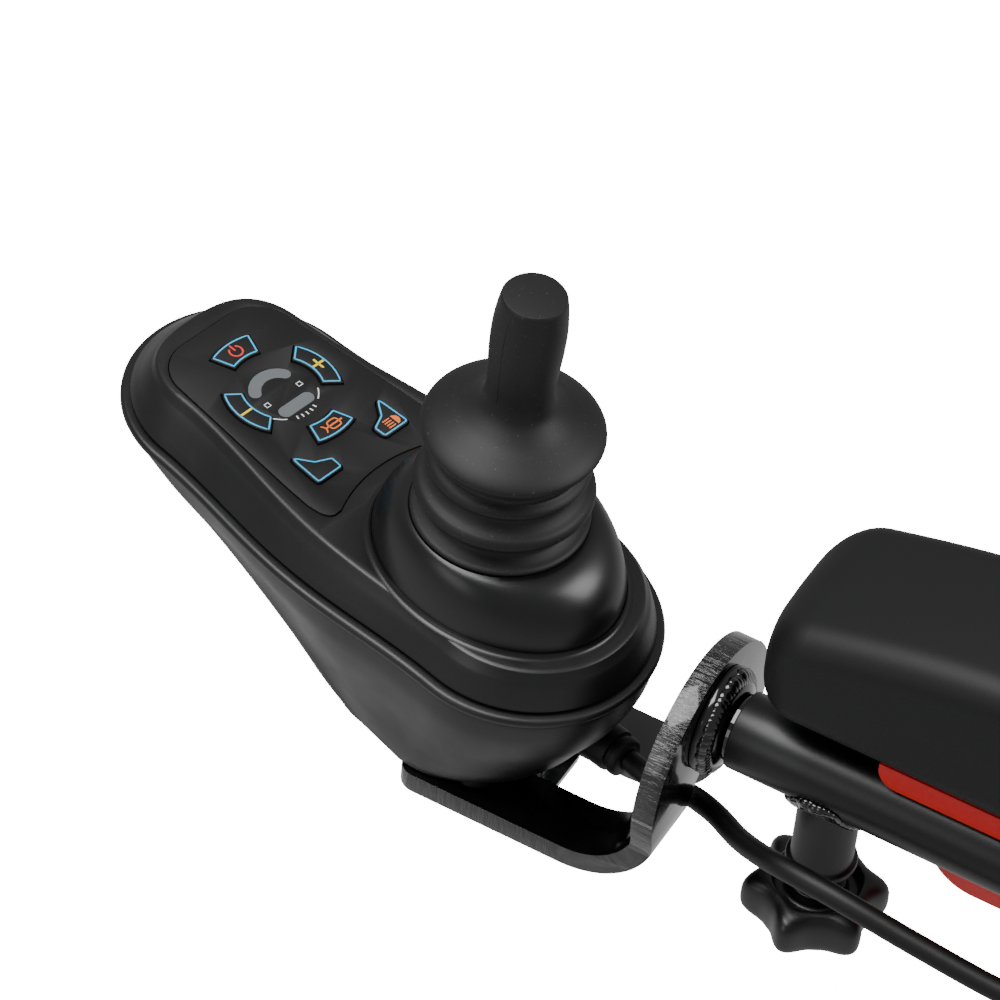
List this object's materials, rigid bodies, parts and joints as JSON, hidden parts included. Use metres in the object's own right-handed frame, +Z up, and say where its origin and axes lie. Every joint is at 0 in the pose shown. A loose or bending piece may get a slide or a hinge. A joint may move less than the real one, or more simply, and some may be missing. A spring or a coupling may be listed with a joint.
{
  "type": "power wheelchair joystick control and armrest",
  "caption": "Flip-up wheelchair armrest with a clamped, sliding steel bracket that carries a joystick control unit with a sprung stick, push buttons and a cable.",
  "frame": {"origin": "centre of the frame plate's outer face, midway between its two bolt holes, where it bolts to the side of the chair's back post", "axes": "+Y forward along the arm tube, the way the chair drives; +Z up; +X to the user's right, away from the seat, so the frame plate's outer face looks along -X"},
  "size_m": [0.0972, 0.5654, 0.1755],
  "materials": {
    "satin_black_steel": "satin black powder coat on steel",
    "gloss_black_steel": "glossy black enamel on steel plate",
    "zinc_steel": "bright zinc plate on steel",
    "brass_shoe": "turned brass",
    "black_abs": "fine-textured moulded ABS",
    "black_nylon": "satin moulded nylon",
    "red_plastic": "satin red moulded plastic",
    "board_green": "green solder mask on glass-fibre board",
    "smoked_window": "smoked polycarbonate light window",
    "keypad_silicone": "matte black silicone",
    "black_rubber": "matte moulded rubber",
    "cable_sheath": "satin soft cable sheath",
    "pad_foam": "matte black skin over foam"
  },
  "bodies": {
    "frame_mount": {"frame_plate": "satin_black_steel", "pivot_pin": "zinc_steel", "pivot_spacer": "black_nylon", "pivot_nut": "zinc_steel", "stop_pin": "zinc_steel", "stop_sleeve": "black_rubber"},
    "armrest": {"arm_tube": "satin_black_steel", "pivot_block": "zinc_steel", "block_cross_pin": "zinc_steel", "arm_pad": "pad_foam", "side_guard": "red_plastic", "pad_screw_1": "zinc_steel", "pad_screw_2": "zinc_steel", "guard_screw_1": "zinc_steel", "guard_screw_2": "zinc_steel", "clamp_boss": "satin_black_steel", "boss_weld": "satin_black_steel", "cable": "cable_sheath", "cable_connector": "black_nylon", "cable_clip": "black_nylon", "connector_clip": "black_nylon"},
    "control": {"bracket_plate": "gloss_black_steel", "stub_tube": "zinc_steel", "stub_weld": "gloss_black_steel", "lower_shell": "black_abs", "upper_shell": "black_abs", "rim_band": "black_abs", "shell_gasket": "black_rubber", "keypad_panel": "keypad_silicone", "window_arc": "smoked_window", "window_bar": "smoked_window", "circuit_board": "board_green", "switch_mat": "keypad_silicone", "gimbal_housing": "black_nylon", "joystick_boot": "black_rubber", "case_screw_1": "zinc_steel", "case_screw_2": "zinc_steel", "case_screw_3": "zinc_steel", "case_screw_4": "zinc_steel", "mount_screw_1": "zinc_steel", "mount_screw_2": "zinc_steel", "mount_washer": "zinc_steel", "charge_socket": "black_nylon", "cable_gland": "black_rubber"},
    "gimbal": {"gimbal_yoke": "black_nylon"},
    "joystick": {"stick_shaft": "zinc_steel", "spring_collar": "black_nylon", "centring_spring": "zinc_steel", "joystick_grip": "black_rubber"},
    "power_button": {"button_power": "keypad_silicone"},
    "horn_button": {"button_horn": "keypad_silicone"},
    "plus_button": {"button_plus": "keypad_silicone"},
    "minus_button": {"button_minus": "keypad_silicone"},
    "light_button": {"button_light": "keypad_silicone"},
    "spare_button": {"button_spare": "keypad_silicone"},
    "shoe": {"clamp_shoe": "brass_shoe"},
    "knob": {"clamp_knob": "black_nylon", "clamp_stud": "zinc_steel"}
  },
  "joints": [
    {"name": "arm_flip", "type": "hinge", "parent": "frame_mount", "child": "armrest", "pos_m": [0.019, 0.04, 0], "axis": [1, 0, 0], "range_deg": [0, 95]},
    {"name": "bracket_slide", "type": "slide", "parent": "armrest", "child": "control", "axis": [0, 1, 0], "range_m": [0, 0.06]},
    {"name": "clamp_travel", "type": "slide", "parent": "armrest", "child": "shoe", "axis": [0, 0, -1], "range_m": [0, 0.0025]},
    {"name": "clamp_turn", "type": "hinge", "parent": "shoe", "child": "knob", "pos_m": [0.019, 0.312, -0.04], "axis": [0, 0, -1], "range_deg": [0, 720]},
    {"name": "stick_pitch", "type": "hinge", "parent": "control", "child": "gimbal", "pos_m": [0.0209, 0.41913, 0.01473], "axis": [0.9724, -0.2334, 0], "range_deg": [-13, 13], "stiffness_Nm_per_rad": 1.2},
    {"name": "stick_roll", "type": "hinge", "parent": "gimbal", "child": "joystick", "pos_m": [0.0209, 0.41913, 0.01473], "axis": [0.2331, 0.971, 0.0523], "range_deg": [-13, 13], "stiffness_Nm_per_rad": 1.2},
    {"name": "power_press", "type": "slide", "parent": "control", "child": "power_button", "axis": [0.0122, 0.0509, -0.9986], "range_m": [0, 0.0008], "stiffness_N_per_m": 500},
    {"name": "horn_press", "type": "slide", "parent": "control", "child": "horn_button", "axis": [0.0122, 0.0509, -0.9986], "range_m": [0, 0.0008], "stiffness_N_per_m": 500},
    {"name": "plus_press", "type": "slide", "parent": "control", "child": "plus_button", "axis": [0.0122, 0.0509, -0.9986], "range_m": [0, 0.0008], "stiffness_N_per_m": 500},
    {"name": "minus_press", "type": "slide", "parent": "control", "child": "minus_button", "axis": [0.0122, 0.0509, -0.9986], "range_m": [0, 0.0008], "stiffness_N_per_m": 500},
    {"name": "light_press", "type": "slide", "parent": "control", "child": "light_button", "axis": [0.0122, 0.0509, -0.9986], "range_m": [0, 0.0008], "stiffness_N_per_m": 500},
    {"name": "spare_press", "type": "slide", "parent": "control", "child": "spare_button", "axis": [0.0122, 0.0509, -0.9986], "range_m": [0, 0.0008], "stiffness_N_per_m": 500}
  ],
  "couplings": [
    {"joint": "clamp_turn", "follows": "clamp_travel", "rad_per_m": 5026.5}
  ]
}
